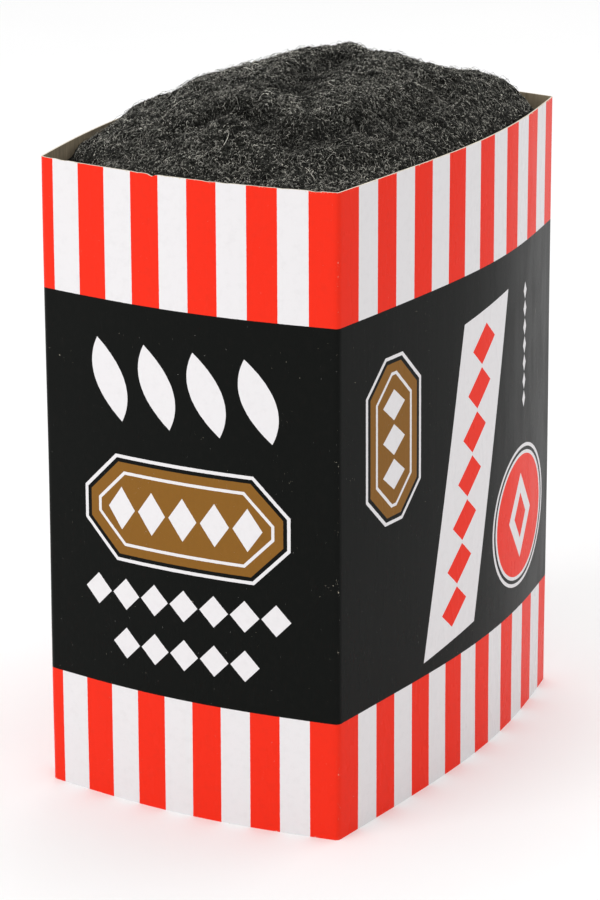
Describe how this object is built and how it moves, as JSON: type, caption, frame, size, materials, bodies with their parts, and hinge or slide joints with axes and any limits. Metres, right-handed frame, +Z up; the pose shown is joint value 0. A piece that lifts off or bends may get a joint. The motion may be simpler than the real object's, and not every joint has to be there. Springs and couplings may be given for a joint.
{
  "type": "steel wool pad",
  "caption": "Hank of fine steel wool folded into a tall open-ended card sleeve with bowed panels, with the wool standing in a low crown above the rim.",
  "frame": {"origin": "middle of the footprint, on the surface the sleeve stands on", "axes": "+Z up along the sleeve's open length; the narrow front panel faces -Y and the wide side panel faces +X"},
  "size_m": [0.116, 0.1538, 0.218],
  "materials": {
    "printed_board": "gloss varnish over red and white stripes and a black middle band",
    "fine_steel_wool": "dark, fibrous, with bright single strands"
  },
  "bodies": {
    "root": {"sleeve": "printed_board", "steel_wool": "fine_steel_wool"}
  },
  "joints": []
}
